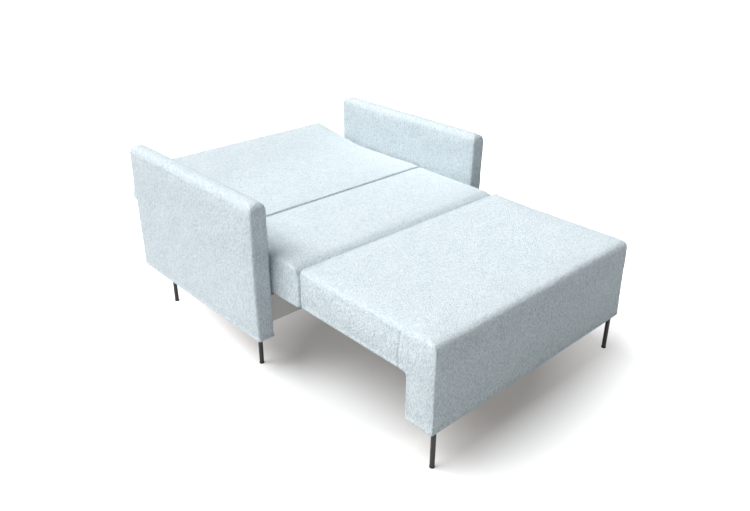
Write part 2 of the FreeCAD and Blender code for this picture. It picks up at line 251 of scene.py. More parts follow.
@dataclass(frozen=True)
class LoopedPile:
    """Ice blue cover of short curled pile, with paler tips, painted shade that greys the low pile between
    them, and painted shade along the seams.

    Attributes:
        name: name of the material.
        tip: colour of the pile's tips.
        hollow: colour between them, greyed as painted shade in the low pile.
        seam_shade: colour of the painted shade along a seam's crease.
        curl_pitch: distance between curls.
        fibre_pitch: distance between fibres.
        clump_pitch: distance between clumps of curls.
        stray_pitch: distance over which the curls stray.
        cloud_scale: soft clouds to the metre.
        fall: how far the pile is drawn out down the sides.
        pile_depth: height of the pile.
        curl_range: span of cell distance that a curl takes up.
        fibre_range: span of noise from hollow to fibre.
        clump_range: span of noise from hollow to clump.
        cloud_range: span of noise from dark to pale cloud.
        shade_range: span of pile height from hollow to tip colour.
        curl_share: part of the curls in the pile.
        fibre_share: part of the fibres in the pile.
        clump_share: part of the clumps in the pile.
        cloud_share: part of the clouds in the colour.
        seam_shade_share: how much painted shade a seam's crease gets.
        tip_gloss: how much smoother the tips are.
        sheen: soft glow at a glancing angle.
        sheen_roughness: spread of that glow.
        specular: level of plain reflection.
    """

    name: str
    tip: Colour = (0.880, 0.960, 0.990)
    # The hollow colour is painted shade between the curls.
    hollow: Colour = (0.55, 0.66, 0.725)
    # Painted shade along the seams, darker than the cover.
    seam_shade: Colour = (0.40, 0.50, 0.56)
    curl_pitch: float = 0.0042
    fibre_pitch: float = 0.0020
    fall: float = 0.40
    pile_depth: float = 0.0038
    clump_pitch: float = 0.014
    stray_pitch: float = 0.006
    cloud_scale: float = 11.0
    curl_range: Span = (0.08, 0.78)
    fibre_range: Span = (0.30, 0.70)
    clump_range: Span = (0.32, 0.68)
    cloud_range: Span = (0.30, 0.70)
    shade_range: Span = (0.20, 0.60)
    curl_share: float = 0.46
    fibre_share: float = 0.40
    clump_share: float = 0.14
    cloud_share: float = 0.10
    seam_shade_share: float = 0.5
    tip_gloss: float = 0.1
    sheen: float = 0.10
    sheen_roughness: float = 0.5
    specular: float = 0.1

    def make(self) -> bpy.types.Material:
        """Build the node material.

        Returns:
            The finished material.
        """
        graph = Graph(self.name)
        place = graph.place()
        hanging = graph.place((1.0, 1.0, self.fall))
        stray = graph.noise(hanging, 1.0 / self.stray_pitch, 2.0, output="Color")
        bent = graph.node("ShaderNodeVectorMath", {"operation": "MULTIPLY_ADD"},
                          {0: stray, 1: (self.curl_pitch, ) * 3, 2: hanging})
        curls = 1.0 - graph.cells(bent, 1.0 / self.curl_pitch).between(*self.curl_range)
        fibres = graph.noise(bent, 1.0 / self.fibre_pitch, 3.0, 0.6).between(*self.fibre_range)
        clumps = graph.noise(hanging, 1.0 / self.clump_pitch, 3.0, 0.6).between(*self.clump_range)
        cloud = graph.noise(place, self.cloud_scale, 3.0, 0.55).between(*self.cloud_range)
        pile = curls * self.curl_share + fibres * self.fibre_share + clumps * self.clump_share
        shade = pile.between(*self.shade_range) * (1.0 - self.cloud_share) + cloud * self.cloud_share
        # Painted shade: the colour greys from tip to hollow as the pile gets lower, with soft random
        # clouds of tone.
        colour = graph.mix(shade, self.hollow, self.tip)
        sewn = graph.node("ShaderNodeAttribute", {"attribute_name": "sewn"}, None, "Fac")
        # Painted shade along each seam's crease, where the sewn mask pulls the cover in.
        colour = graph.mix(sewn * self.seam_shade_share, colour, self.seam_shade)
        return graph.surface(Base_Color=colour, Roughness=1.0 - pile * self.tip_gloss,
                             Normal=graph.bump(pile, self.pile_depth, 1.0),
                             Sheen_Weight=self.sheen, Sheen_Roughness=self.sheen_roughness,
                             Specular_IOR_Level=self.specular)


@dataclass(frozen=True)
class PowderCoat:
    """Matte black powder coat on round steel legs."""

    name: str
    colour: Colour = (0.018, 0.018, 0.019)
    scuffed: Colour = (0.045, 0.045, 0.047)
    grain_scale: float = 900.0
    grain_depth: float = 0.0001
    scuff_scale: float = 60.0
    scuff_range: Span = (0.55, 0.80)
    scuff_share: float = 0.3
    roughness: float = 0.42
    dulling: float = 0.16
    relief: float = 0.5

    def make(self) -> bpy.types.Material:
        """Build the node material.

        Returns:
            The finished material.
        """
        graph = Graph(self.name)
        place = graph.place()
        grain = graph.noise(place, self.grain_scale, 2.0)
        scuffs = graph.noise(place, self.scuff_scale, 3.0).between(*self.scuff_range)
        colour = graph.mix(scuffs * self.scuff_share, self.colour, self.scuffed)
        return graph.surface(Base_Color=colour, Roughness=self.roughness + grain * self.dulling,
                             Normal=graph.bump(grain, self.grain_depth, self.relief))


@dataclass(frozen=True)
class SawnWood:
    """Planed softwood or plywood, with grain along one direction."""

    name: str
    early: Colour = (0.66, 0.47, 0.28)
    late: Colour = (0.44, 0.27, 0.13)
    stretch: Point = (2.0, 60.0, 60.0)
    ring_range: Span = (0.32, 0.68)
    pore_scale: float = 9.0
    pore_share: float = 0.2
    grain_depth: float = 0.0003
    roughness: float = 0.55
    dulling: float = 0.2
    relief: float = 0.4

    def make(self) -> bpy.types.Material:
        """Build the node material.

        Returns:
            The finished material.
        """
        graph = Graph(self.name)
        place = graph.place(self.stretch)
        rings = graph.noise(place, 1.0, 4.0, 0.6)
        pores = graph.noise(place, self.pore_scale, 2.0)
        tone = rings.between(*self.ring_range) * (1.0 - self.pore_share) + pores * self.pore_share
        colour = graph.mix(tone, self.late, self.early)
        return graph.surface(Base_Color=colour, Roughness=self.roughness + pores * self.dulling,
                             Normal=graph.bump(tone, self.grain_depth, self.relief))


@dataclass(frozen=True)
class FacedBoard:
    """Light warm grey faced board."""

    name: str
    colour: Colour = (0.88, 0.88, 0.87)
    shade: float = 0.9
    fibre_scale: float = 400.0
    fibre_depth: float = 0.00015
    cloud_scale: float = 12.0
    roughness: float = 0.5
    dulling: float = 0.2
    relief: float = 0.4

    def make(self) -> bpy.types.Material:
        """Build the node material.

        Returns:
            The finished material.
        """
        graph = Graph(self.name)
        place = graph.place()
        fibre = graph.noise(place, self.fibre_scale, 3.0)
        cloud = graph.noise(place, self.cloud_scale, 2.0)
        colour = graph.mix(cloud, dimmed(self.colour, self.shade), self.colour)
        return graph.surface(Base_Color=colour, Roughness=self.roughness + fibre * self.dulling,
                             Normal=graph.bump(fibre, self.fibre_depth, self.relief))


@dataclass(frozen=True)
class ZincSteel:
    """Bright zinc plate on rolled steel fittings."""

    name: str
    colour: Colour = (0.55, 0.56, 0.58)
    shade: float = 0.75
    streak_stretch: Point = (200.0, 8.0, 200.0)
    streak_depth: float = 0.0001
    spangle_scale: float = 90.0
    metallic: float = 0.9
    roughness: float = 0.28
    dulling: float = 0.18
    relief: float = 0.4

    def make(self) -> bpy.types.Material:
        """Build the node material.

        Returns:
            The finished material.
        """
        graph = Graph(self.name)
        streaks = graph.noise(graph.place(self.streak_stretch), 1.0, 3.0)
        spangle = graph.cells(graph.place(), self.spangle_scale)
        tone = streaks * 0.5 + spangle * 0.5
        colour = graph.mix(tone, dimmed(self.colour, self.shade), self.colour)
        return graph.surface(Base_Color=colour, Metallic=self.metallic,
                             Roughness=self.roughness + streaks * self.dulling,
                             Normal=graph.bump(streaks, self.streak_depth, self.relief))


@dataclass(frozen=True)
class Nylon:
    """Black moulded nylon with a fine spark grain."""

    name: str
    colour: Colour = (0.022, 0.022, 0.023)
    worn: Colour = (0.04, 0.04, 0.042)
    grain_scale: float = 1400.0
    grain_depth: float = 0.0001
    roughness: float = 0.5
    dulling: float = 0.15
    relief: float = 0.5

    def make(self) -> bpy.types.Material:
        """Build the node material.

        Returns:
            The finished material.
        """
        graph = Graph(self.name)
        grain = graph.cells(graph.place(), self.grain_scale)
        colour = graph.mix(grain, self.colour, self.worn)
        return graph.surface(Base_Color=colour, Roughness=self.roughness + grain * self.dulling,
                             Normal=graph.bump(grain, self.grain_depth, self.relief))


@dataclass(frozen=True)
class Felt:
    """Pressed grey felt."""

    name: str
    colour: Colour = (0.16, 0.16, 0.17)
    shade: float = 0.6
    fibre_scale: float = 700.0
    fibre_depth: float = 0.0006
    roughness: float = 0.95
    sheen: float = 0.3
    relief: float = 0.8

    def make(self) -> bpy.types.Material:
        """Build the node material.

        Returns:
            The finished material.
        """
        graph = Graph(self.name)
        fibre = graph.noise(graph.place(), self.fibre_scale, 5.0, 0.7)
        colour = graph.mix(fibre, dimmed(self.colour, self.shade), self.colour)
        return graph.surface(Base_Color=colour, Roughness=self.roughness, Sheen_Weight=self.sheen,
                             Normal=graph.bump(fibre, self.fibre_depth, self.relief))


def smooth_step(low: float, high: float, values: np.ndarray) -> np.ndarray:
    """Smooth ramp from 0 at low to 1 at high."""
    share = np.clip((values - low) / (high - low), 0.0, 1.0)
    return share * share * (3.0 - 2.0 * share)


def read_points(mesh: bpy.types.Mesh) -> np.ndarray:
    """Read the vertex places of a mesh.

    Args:
        mesh: the mesh.

    Returns:
        One row of x, y and z for each vertex.
    """
    flat = np.empty(len(mesh.vertices) * 3)
    mesh.vertices.foreach_get("co", flat)
    return flat.reshape(-1, 3)


def read_normals(mesh: bpy.types.Mesh) -> np.ndarray:
    """Read the vertex normals of a mesh.

    Args:
        mesh: the mesh.

    Returns:
        One row of x, y and z for each vertex.
    """
    flat = np.empty(len(mesh.vertices) * 3, dtype=np.float32)
    mesh.vertex_normals.foreach_get("vector", flat)
    return flat.reshape(-1, 3).astype(float)


def write_points(mesh: bpy.types.Mesh, points: np.ndarray) -> None:
    """Write vertex places back into a mesh."""
    mesh.vertices.foreach_set("co", points.reshape(-1))
    mesh.update()


def ripples(points: np.ndarray, wavelength: float, seed: int) -> np.ndarray:
    """Smooth random field from -1 to 1, made of a few seeded waves.

    Args:
        points: rows of places in metres.
        wavelength: typical distance between crests.
        seed: seed of the directions and phases.

    Returns:
        One value for each row.
    """
    dice = np.random.default_rng(seed)
    total = np.zeros(len(points))
    waves = 14
    shortest, longest = 0.7, 1.6
    for _ in range(waves):
        direction = dice.normal(size=3)
        direction /= np.linalg.norm(direction)
        pitch = wavelength * dice.uniform(shortest, longest)
        total += np.sin(points @ direction * (2.0 * math.pi / pitch) + dice.uniform(0.0, 2.0 * math.pi))
    return total / math.sqrt(waves * 2.0)


def spread_evenly(mesh: bpy.types.Mesh, values: np.ndarray, rounds: int) -> np.ndarray:
    """Average each point's row of values with its neighbours', over and over.

    Args:
        mesh: mesh whose edges tell the neighbours.
        values: one row for each vertex.
        rounds: how many times to average.

    Returns:
        The evened values.
    """
    ends = np.empty(len(mesh.edges) * 2, dtype=np.int32)
    mesh.edges.foreach_get("vertices", ends)
    first, second = ends.reshape(-1, 2).T
    count = np.bincount(ends, minlength=len(values)).astype(float)[:, None]
    for _ in range(rounds):
        total = np.zeros_like(values)
        for column in range(values.shape[1]):
            total[:, column] += np.bincount(first, values[second, column], len(values))
            total[:, column] += np.bincount(second, values[first, column], len(values))
        values = (values + total / np.maximum(count, 1.0)) / 2
    return values


def apply_modifiers(piece: bpy.types.Object) -> None:
    """Bake every modifier of a piece into its mesh.

    Args:
        piece: the piece, which keeps none of its modifiers.
    """
    graph = bpy.context.evaluated_depsgraph_get()
    made = bpy.data.meshes.new_from_object(piece.evaluated_get(graph))
    old = piece.data
    piece.modifiers.clear()
    piece.data = made
    bpy.data.meshes.remove(old)


@dataclass
class Corner:
    """One corner of a side outline, in metres.

    Attributes:
        y: place along the bed.
        z: height.
        cut: rounding of the corner itself.
        edge: rounding of the two end edges that follow the corner.
    """

    y: float
    z: float
    cut: Cut
    edge: Cut


@dataclass
class Seam:
    """A sewn line across a face, the part of a plane that a box holds.

    Attributes:
        axis: direction across the plane, 0 for x, 1 for y and 2 for z.
        place: where the plane stands along that axis.
        low: lowest corner of the box.
        high: highest corner of the box.
        width: how far the seam pulls on either side.
    """

    axis: int
    place: float
    low: Point
    high: Point
    width: float = 0.0036


@dataclass(frozen=True)
class Wave:
    """One size of unevenness in the padding.

    Attributes:
        length: distance between crests.
        height: height of the crests.
        step: what it adds to the seed of its piece.
    """

    length: float
    height: float
    step: int


@dataclass(frozen=True)
class Cover:
    """How the fabric cover behaves while the padding swells.

    Attributes:
        pressure: push of the padding from inside.
        frames: length of the simulation.
        reach: furthest that any point moves.
        quality: steps for each frame.
        mass: weight of each point.
        stretch: stiffness against pull and push along the cloth.
        shear: stiffness against slanting.
        bending: stiffness against bending.
        damping: how much the air slows the cloth.
        grip: least hold that counts as held.
    """

    pressure: float = 4.0
    frames: int = 20
    reach: float = 0.005
    quality: int = 4
    mass: float = 0.35
    stretch: float = 18.0
    shear: float = 6.0
    bending: float = 2.0
    damping: float = 2.0
    grip: float = 0.01

    def put_on(self, piece: bpy.types.Object, held: np.ndarray) -> None:
        """Give a piece a cloth that swells under pressure.

        Args:
            piece: the piece.
            held: how firmly each of its points stays in place, from 0 to 1.
        """
        group = piece.vertex_groups.new(name="held")
        for index in np.nonzero(held > self.grip)[0]:
            group.add([int(index)], float(held[index]), "REPLACE")
        cloth = piece.modifiers.new("cloth", "CLOTH")
        settings = cloth.settings
        settings.quality = self.quality
        settings.mass = self.mass
        settings.tension_stiffness = self.stretch
        settings.compression_stiffness = self.stretch
        settings.shear_stiffness = self.shear
        settings.bending_stiffness = self.bending
        settings.air_damping = self.damping
        settings.use_pressure = True
        settings.uniform_pressure_force = self.pressure
        settings.vertex_group_mass = group.name
        settings.effector_weights.gravity = 0.0
        cloth.collision_settings.use_collision = False
        cloth.point_cache.frame_start = 1
        cloth.point_cache.frame_end = self.frames


@dataclass
class PaddedBlock:
    """A foam block in its fabric cover.

    Attributes:
        name: name of the piece.
        node: solid that the piece stands for.
        body: body that the piece rides on.
        outline: corners of the side view, round from the lower foot end corner.
        left: lowest place across the bed.
        right: highest place across the bed.
        held: tells how firmly each point stays where it is while the padding swells.
        boards: let-in boards that stay bare on the underside.
        slots: boxes that stay open for moving pieces.
        seams: sewn lines.
        clear: room left free at the foot end and at the head end of the solid.
        seam_depth: how far a seam pulls the cover in.
        evening: rounds of evening out the swelling.
        inset: how far the skin starts inside its final place.
        corner_steps: steps in the rounding of an edge.
        relax_rounds: rounds of smoothing after the skin is made.
        relax_factor: strength of each round.
        board_step: how far the cover's underside steps back at a bare board.
        board_hem: width of the cover's hem round a board.
        fill: how tight the padding is; not used.
        voxel: size of the skin's quads.
        seed: seed of the unevenness.
        waves: sizes of the unevenness.
        piece: the piece in the scene, once it is made.
        rest: places of its points before the padding swells.
    """

    name: str
    node: str
    body: str
    outline: Sequence[Corner]
    left: float
    right: float
    held: Callable[[np.ndarray], np.ndarray]
    boards: Sequence[str] = ()
    slots: Sequence[tuple[Point, Point]] = ()
    seams: Sequence[Seam] = ()
    clear: tuple[float, float] = (0.0, 0.0)
    seam_depth: float = 0.0020
    evening: int = 60
    inset: float = 0.003
    corner_steps: int = 6
    relax_rounds: int = 2
    relax_factor: float = 0.5
    board_step: float = 0.004
    board_hem: float = 0.002
    fill: float = 0.85
    voxel: float = 0.008
    seed: int = 1
    waves: Sequence[Wave] = (Wave(0.16, 0.0008, 0), Wave(0.05, 0.0004, 7), Wave(0.014, 0.00025, 13))
    piece: bpy.types.Object | None = field(default=None, repr=False)
    rest: np.ndarray | None = field(default=None, repr=False)

    def shape(self) -> None:
        """Make the block with rounded edges and an even skin of small quads."""
        self.piece = self._prism()
        rounding = self.piece.modifiers.new("round", "BEVEL")
        rounding.limit_method = "WEIGHT"
        rounding.width = Cut.DEEP.value
        rounding.segments = self.corner_steps
        rounding.use_clamp_overlap = False
        apply_modifiers(self.piece)
        for low, high in self.slots:
            self._open(low, high)
        skin = self.piece.modifiers.new("skin", "REMESH")
        skin.mode = "VOXEL"
        skin.voxel_size = self.voxel
        apply_modifiers(self.piece)
        relax = self.piece.modifiers.new("relax", "SMOOTH")
        relax.factor = self.relax_factor
        relax.iterations = self.relax_rounds
        apply_modifiers(self.piece)
        points = read_points(self.piece.data)
        push = self.inset * (1.0 - self.held(points))
        self.rest = points - read_normals(self.piece.data) * push[:, None]
        write_points(self.piece.data, self.rest)

    def _prism(self) -> bpy.types.Object:
        """Make a sharp block with the wished rounding written on its edges.

        Returns:
            The block.
        """
        shell = bmesh.new()
        weights = shell.edges.layers.float.new("bevel_weight_edge")
        rings = []
        for x in (self.left, self.right):
            rings.append([shell.verts.new((x, corner.y, corner.z)) for corner in self.outline])
        count = len(self.outline)
        shell.faces.new(list(reversed(rings[0])))
        shell.faces.new(rings[1])
        for i in range(count):
            j = (i + 1) % count
            shell.faces.new((rings[0][i], rings[0][j], rings[1][j], rings[1][i]))
        for i in range(count):
            along = shell.edges.get((rings[0][i], rings[1][i]))
            along[weights] = self.outline[i].cut.value / Cut.DEEP.value
            for ring in rings:
                end = shell.edges.get((ring[i], ring[(i + 1) % count]))
                end[weights] = self.outline[i].edge.value / Cut.DEEP.value
        bmesh.ops.recalc_face_normals(shell, faces=shell.faces)
        return made_from(shell, self.name)

    def _open(self, low: Point, high: Point) -> None:
        """Cut a box out of the block.

        Args:
            low: lowest corner of the box.
            high: highest corner of the box.
        """
        shell = bmesh.new()
        bmesh.ops.create_cube(shell, size=1.0)
        size = Vector(high) - Vector(low)
        centre = (Vector(high) + Vector(low)) / 2
        bmesh.ops.scale(shell, vec=size, verts=shell.verts)
        bmesh.ops.translate(shell, vec=centre, verts=shell.verts)
        cutter = made_from(shell, self.name + "_slot")
        opening = self.piece.modifiers.new("slot", "BOOLEAN")
        opening.operation = "DIFFERENCE"
        opening.object = cutter
        opening.solver = "EXACT"
        apply_modifiers(self.piece)
        bpy.data.objects.remove(cutter)

    def settle(self, reach: float) -> None:
        """Take the swollen skin, limit its travel and even it out.

        Args:
            reach: furthest that any point may move.
        """
        apply_modifiers(self.piece)
        mesh = self.piece.data
        moved = read_points(mesh) - self.rest
        length = np.linalg.norm(moved, axis=1, keepdims=True)
        share = np.minimum(1.0, reach / np.maximum(length, 1e-9))
        write_points(mesh, self.rest + spread_evenly(mesh, moved * share, self.evening))

    def finish(self, material: bpy.types.Material) -> None:
        """Refine the skin, fit it to its solid, press in the details, and dress it.

        Args:
            material: finish of the cover.
        """
        finer = self.piece.modifiers.new("finer", "SUBSURF")
        finer.levels = 1
        finer.render_levels = 1
        apply_modifiers(self.piece)
        mesh = self.piece.data
        points = self._fitted(read_points(mesh))
        write_points(mesh, points)
        normals = read_normals(mesh)
        free = 1.0 - self.held(points)
        push = np.zeros(len(points))
        for wave in self.waves:
            push += ripples(points, wave.length, self.seed + wave.step) * wave.height
        push *= free
        sewn = np.zeros(len(points))
        for seam in self.seams:
            sewn = np.maximum(sewn, self._sewn(seam, points))
        push -= sewn * self.seam_depth
        for board in self.boards:
            push += self._recess(board, points, normals)
        write_points(mesh, points + normals * push[:, None])
        # The sewn mask also sets where the material paints shade along the seams.
        mesh.attributes.new("sewn", "FLOAT", "POINT").data.foreach_set("value", sewn.astype(np.float32))
        for polygon in mesh.polygons:
            polygon.use_smooth = True
        mesh.materials.clear()
        mesh.materials.append(material)
        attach(self.piece, self.body)
        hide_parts(self.node)
        LOG.info("%s: %d points", self.name, len(points))

    def _fitted(self, points: np.ndarray) -> np.ndarray:
        """Stretch the skin so that it fills its solid's box.

        Args:
            points: rows of places.

        Returns:
            The stretched places.
        """
        low, high = (np.array(corner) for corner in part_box(self.node))
        low[1] += self.clear[0]
        high[1] -= self.clear[1]
        at_least, at_most = points.min(axis=0), points.max(axis=0)
        return low + (points - at_least) * (high - low) / (at_most - at_least)

    @staticmethod
    def _sewn(seam: Seam, points: np.ndarray) -> np.ndarray:
        """Tell how strongly a seam pulls at each point.

        Args:
            seam: the seam.
            points: rows of places.

        Returns:
            Values from 0 to 1.
        """
        away = np.abs(points[:, seam.axis] - seam.place)
        inside = np.all((points >= np.array(seam.low)) & (points <= np.array(seam.high)), axis=1)
        return np.where(inside, np.exp(-((away / seam.width) ** 2)), 0.0)

    def _recess(self, board: str, points: np.ndarray, normals: np.ndarray) -> np.ndarray:
        """Tell how far the underside steps back where a board stays bare.

        Args:
            board: node of the board.
            points: rows of places.
            normals: rows of normals.

        Returns:
            Travel along each normal.
        """
        low, high = (np.array(corner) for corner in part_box(board))
        edge = np.minimum(points - low, high - points)[:, :2].min(axis=1)
        facing_down = -0.8
        below = (normals[:, 2] < facing_down) & (points[:, 2] < high[2])
        stepped = smooth_step(-self.board_step, self.board_hem, edge)
        return np.where(below, -self.board_step * stepped, 0.0)


def made_from(shell: bmesh.types.BMesh, name: str) -> bpy.types.Object:
    """Turn a mesh in the making into an object of the scene.

    Args:
        shell: the mesh in the making, which is freed.
        name: name of the object.

    Returns:
        The object.
    """
    mesh = bpy.data.meshes.new(name)
    shell.to_mesh(mesh)
    shell.free()
    made = bpy.data.objects.new(name, mesh)
    bpy.context.scene.collection.objects.link(made)
    return made


def near_level(points: np.ndarray, level: float) -> np.ndarray:
    """One at or below a level, fading out above it."""
    return 1.0 - smooth_step(level + HOLD_FULL, level + HOLD_LEVEL, points[:, 2])


@dataclass
class Arm:
    """One slim padded arm.

    Attributes:
        side: -1 for the left arm and 1 for the right.
        voxel: size of the skin's quads.
        seed: seed of the unevenness, before the side is added.
    """

    side: int
    voxel: float = 0.006
    seed: int = 40

    @property
    def name(self) -> str:
        """Name of the arm's solid."""
        return ("left" if self.side < 0 else "right") + "_arm"

    def block(self) -> PaddedBlock:
        """Describe the arm as a padded block.

        Returns:
            The block.
        """
        low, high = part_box(self.name)
        outline = [
            Corner(low.y, low.z, Cut.SHARP, Cut.CRISP),
            Corner(low.y, high.z, Cut.ROUND, Cut.FULL),
            Corner(high.y, high.z, Cut.ROUND, Cut.SMALL),
            Corner(high.y, low.z, Cut.SHARP, Cut.SHARP),
        ]

        def held(points: np.ndarray) -> np.ndarray:
            """The foot of the arm is stapled to its board."""
            return near_level(points, low.z)

        return PaddedBlock(name=self.name + "_cover", node=self.name, body="base", outline=outline,
                           left=low.x, right=high.x, held=held,
                           boards=[self.name + "_sill"], voxel=self.voxel, seed=self.seed + self.side)


@dataclass
class FrontSection:
    """Seat with its apron, pulled out towards the foot end.

    Attributes:
        seam_setback: distance of the side seams behind the front face.
        seam_band: width of the strip that a side seam may pull at.
        seam_grip: depth of the side's skin that a seam pulls at.
        seam_stop: distance of a side seam's upper end below the top.
        slot_margin: room round a lift lever in its slot.
        slot_height: height of a slot above the seat's underside.
        slot_overcut: how far a slot's cutter passes the faces that it opens.
        rear_gap: room in front of the middle section.
        voxel: size of the skin's quads.
        seed: seed of the unevenness.
    """

    seam_setback: float = 0.155
    seam_band: float = 0.040
    seam_grip: float = 0.012
    seam_stop: float = 0.022
    slot_margin: float = 0.003
    slot_height: float = 0.068
    slot_overcut: float = 0.010
    rear_gap: float = 0.002
    voxel: float = 0.006
    seed: int = 11

    def block(self) -> PaddedBlock:
        """Describe the seat as a padded block.

        Returns:
            The block.
        """
        low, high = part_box("front_pad")
        rail_low, rail_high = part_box("apron_rail")
        seat_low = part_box("front_panel")[0].z
        rear = rail_high.y + (rail_low.y - low.y)
        outline = [
            Corner(low.y, low.z, Cut.SHARP, Cut.SHARP),
            Corner(low.y, high.z, Cut.FULL, Cut.SOFT),
            Corner(high.y, high.z, Cut.SHARP, Cut.CRISP),
            Corner(high.y, seat_low, Cut.SHARP, Cut.SHARP),
            Corner(rear, seat_low, Cut.CRISP, Cut.SHARP),
            Corner(rear, low.z, Cut.SHARP, Cut.SHARP),
        ]

        def held(points: np.ndarray) -> np.ndarray:
            """Hold the undersides, the back of the apron and the rear face flat.

            Args:
                points: rows of places.

            Returns:
                Values from 0 to 1.
            """
            behind = smooth_step(rear - HOLD_FACE, rear - HOLD_FULL, points[:, 1])
            below_seat = near_level(points, seat_low) * behind
            against = smooth_step(high.y - HOLD_LEVEL, high.y - HOLD_FULL, points[:, 1])
            return np.maximum(np.maximum(below_seat, against), near_level(points, low.z))

        cut = low.y + self.seam_setback
        bottom, top = low.z - self.seam_band, high.z - self.seam_stop
        before, behind = cut - self.seam_band / 2, cut + self.seam_band / 2
        seams = []
        for side in (low.x, high.x):
            inner, outer = side - self.seam_grip, side + self.seam_grip
            seams.append(Seam(1, cut, (inner, before, bottom), (outer, behind, top)))
        return PaddedBlock(name="front_cover", node="front_pad", body="front_section", outline=outline,
                           left=low.x, right=high.x, held=held, seams=seams, clear=(0.0, self.rear_gap),
                           voxel=self.voxel, slots=self._slots(seat_low, high.y),
                           boards=["front_panel", "apron_rail"], seed=self.seed)

    def _slots(self, seat_low: float, rear: float) -> list[tuple[Point, Point]]:
        """Place the openings for the two lift levers.

        Args:
            seat_low: height of the seat's underside.
            rear: place of the seat's rear face.

        Returns:
            Lowest and highest corner of each opening.
        """
        openings = []
        for side in ("left", "right"):
            low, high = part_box(side + "_lift_lever")
            margin = self.slot_margin
            centre = (low.x + high.x) / 2
            block_low, block_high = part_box(side + "_pivot_block")
            reach = (block_high.x - block_low.x) / 2 + margin
            start = (centre - reach, low.y - margin, seat_low - self.slot_overcut)
            end = (centre + reach, rear + self.slot_overcut, seat_low + self.slot_height)
            openings.append((start, end))
        return openings


@dataclass
class MiddleSection:
    """Section between the seat and the back, which stands up as the backrest.

    Attributes:
        valley: room behind the seat.
        seed: seed of the unevenness.
    """

    valley: float = 0.003
    seed: int = 12

    def block(self) -> PaddedBlock:
        """Describe the section as a padded block.

        Returns:
            The block.
        """
        low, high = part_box("middle_pad")
        outline = [
            Corner(low.y, low.z, Cut.SMALL, Cut.SMALL),
            Corner(low.y, high.z, Cut.DEEP, Cut.SOFT),
            Corner(high.y, high.z, Cut.SMALL, Cut.SMALL),
            Corner(high.y, low.z, Cut.SHARP, Cut.SHARP),
        ]

        def held(points: np.ndarray) -> np.ndarray:
            """The underside and the face against the back stay flat."""
            against = smooth_step(high.y - HOLD_FACE, high.y - HOLD_FULL, points[:, 1])
            return np.maximum(near_level(points, low.z), against)

        return PaddedBlock(name="middle_cover", node="middle_pad", body="middle_section", outline=outline,
                           left=low.x, right=high.x, held=held, clear=(self.valley, FACE_TO_FACE),
                           boards=["middle_panel"], seed=self.seed)


@dataclass
class BackSection:
    """Back with its head end turned up.

    Attributes:
        tilt: how far the head end turns up, in degrees.
        thickness: thickness of the padding.
        head_length: length of the head end along its underside.
        level_length: length of the level stretch along its underside.
        seed: seed of the unevenness.
    """

    tilt: float = 8.5
    thickness: float = 0.155
    head_length: float = 0.350
    level_length: float = 0.440
    seed: int = 13

    def block(self) -> PaddedBlock:
        """Describe the section as a padded block.

        Returns:
            The block.
        """
        low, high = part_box("back_pad")
        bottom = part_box("back_panel")[0].z
        angle = math.radians(self.tilt)
        bend = low.y + self.level_length
        run = Vector((0.0, math.cos(angle), math.sin(angle)))
        rise = Vector((0.0, -math.sin(angle), math.cos(angle)))
        end_low = Vector((0.0, bend, bottom)) + run * self.head_length
        end_top = end_low + rise * self.thickness
        inner = self.thickness * math.tan(angle / 2)
        outline = [
            Corner(low.y, bottom, Cut.SHARP, Cut.SMALL),
            Corner(low.y, bottom + self.thickness, Cut.SMALL, Cut.SMALL),
            Corner(bend - inner, bottom + self.thickness, Cut.BROAD, Cut.SMALL),
            Corner(end_top.y, end_top.z, Cut.MEDIUM, Cut.SMALL),
            Corner(end_low.y, end_low.z, Cut.SMALL, Cut.SHARP),
            Corner(bend, bottom, Cut.BROAD, Cut.SHARP),
        ]

        def held(points: np.ndarray) -> np.ndarray:
            """Hold the underside and the face against the middle flat.

            Args:
                points: rows of places.

            Returns:
                Values from 0 to 1.
            """
            along = (points[:, 1] - bend) * run.y + (points[:, 2] - bottom) * run.z
            above = (points[:, 1] - bend) * rise.y + (points[:, 2] - bottom) * rise.z
            height = np.where(along > 0.0, above, points[:, 2] - bottom)
            below = 1.0 - smooth_step(HOLD_FULL, HOLD_LEVEL, height)
            against = 1.0 - smooth_step(low.y + HOLD_FULL, low.y + HOLD_FACE, points[:, 1])
            return np.maximum(below, against)

        return PaddedBlock(name="back_cover", node="back_pad", body="back_section", outline=outline,
                           left=low.x, right=high.x, held=held, clear=(FACE_TO_FACE, 0.0),
                           boards=["back_panel", "head_panel"], seed=self.seed)


@dataclass
class Upholstery:
    """Every padded piece, swollen together in one simulation."""

    material: bpy.types.Material
    cover: Cover = Cover()

    def build(self, blocks: Iterable[PaddedBlock]) -> None:
        """Make, swell and dress the padded pieces.

        Args:
            blocks: descriptions of the pieces.
        """
        made = list(blocks)
        for block in made:
            block.shape()
        for block in made:
            self.cover.put_on(block.piece, block.held(block.rest))
        scene = bpy.context.scene
        for frame in range(1, self.cover.frames + 1):
            scene.frame_set(frame)
        for block in made:
            block.settle(self.cover.reach)
        scene.frame_set(1)
        for block in made:
            block.finish(self.material)


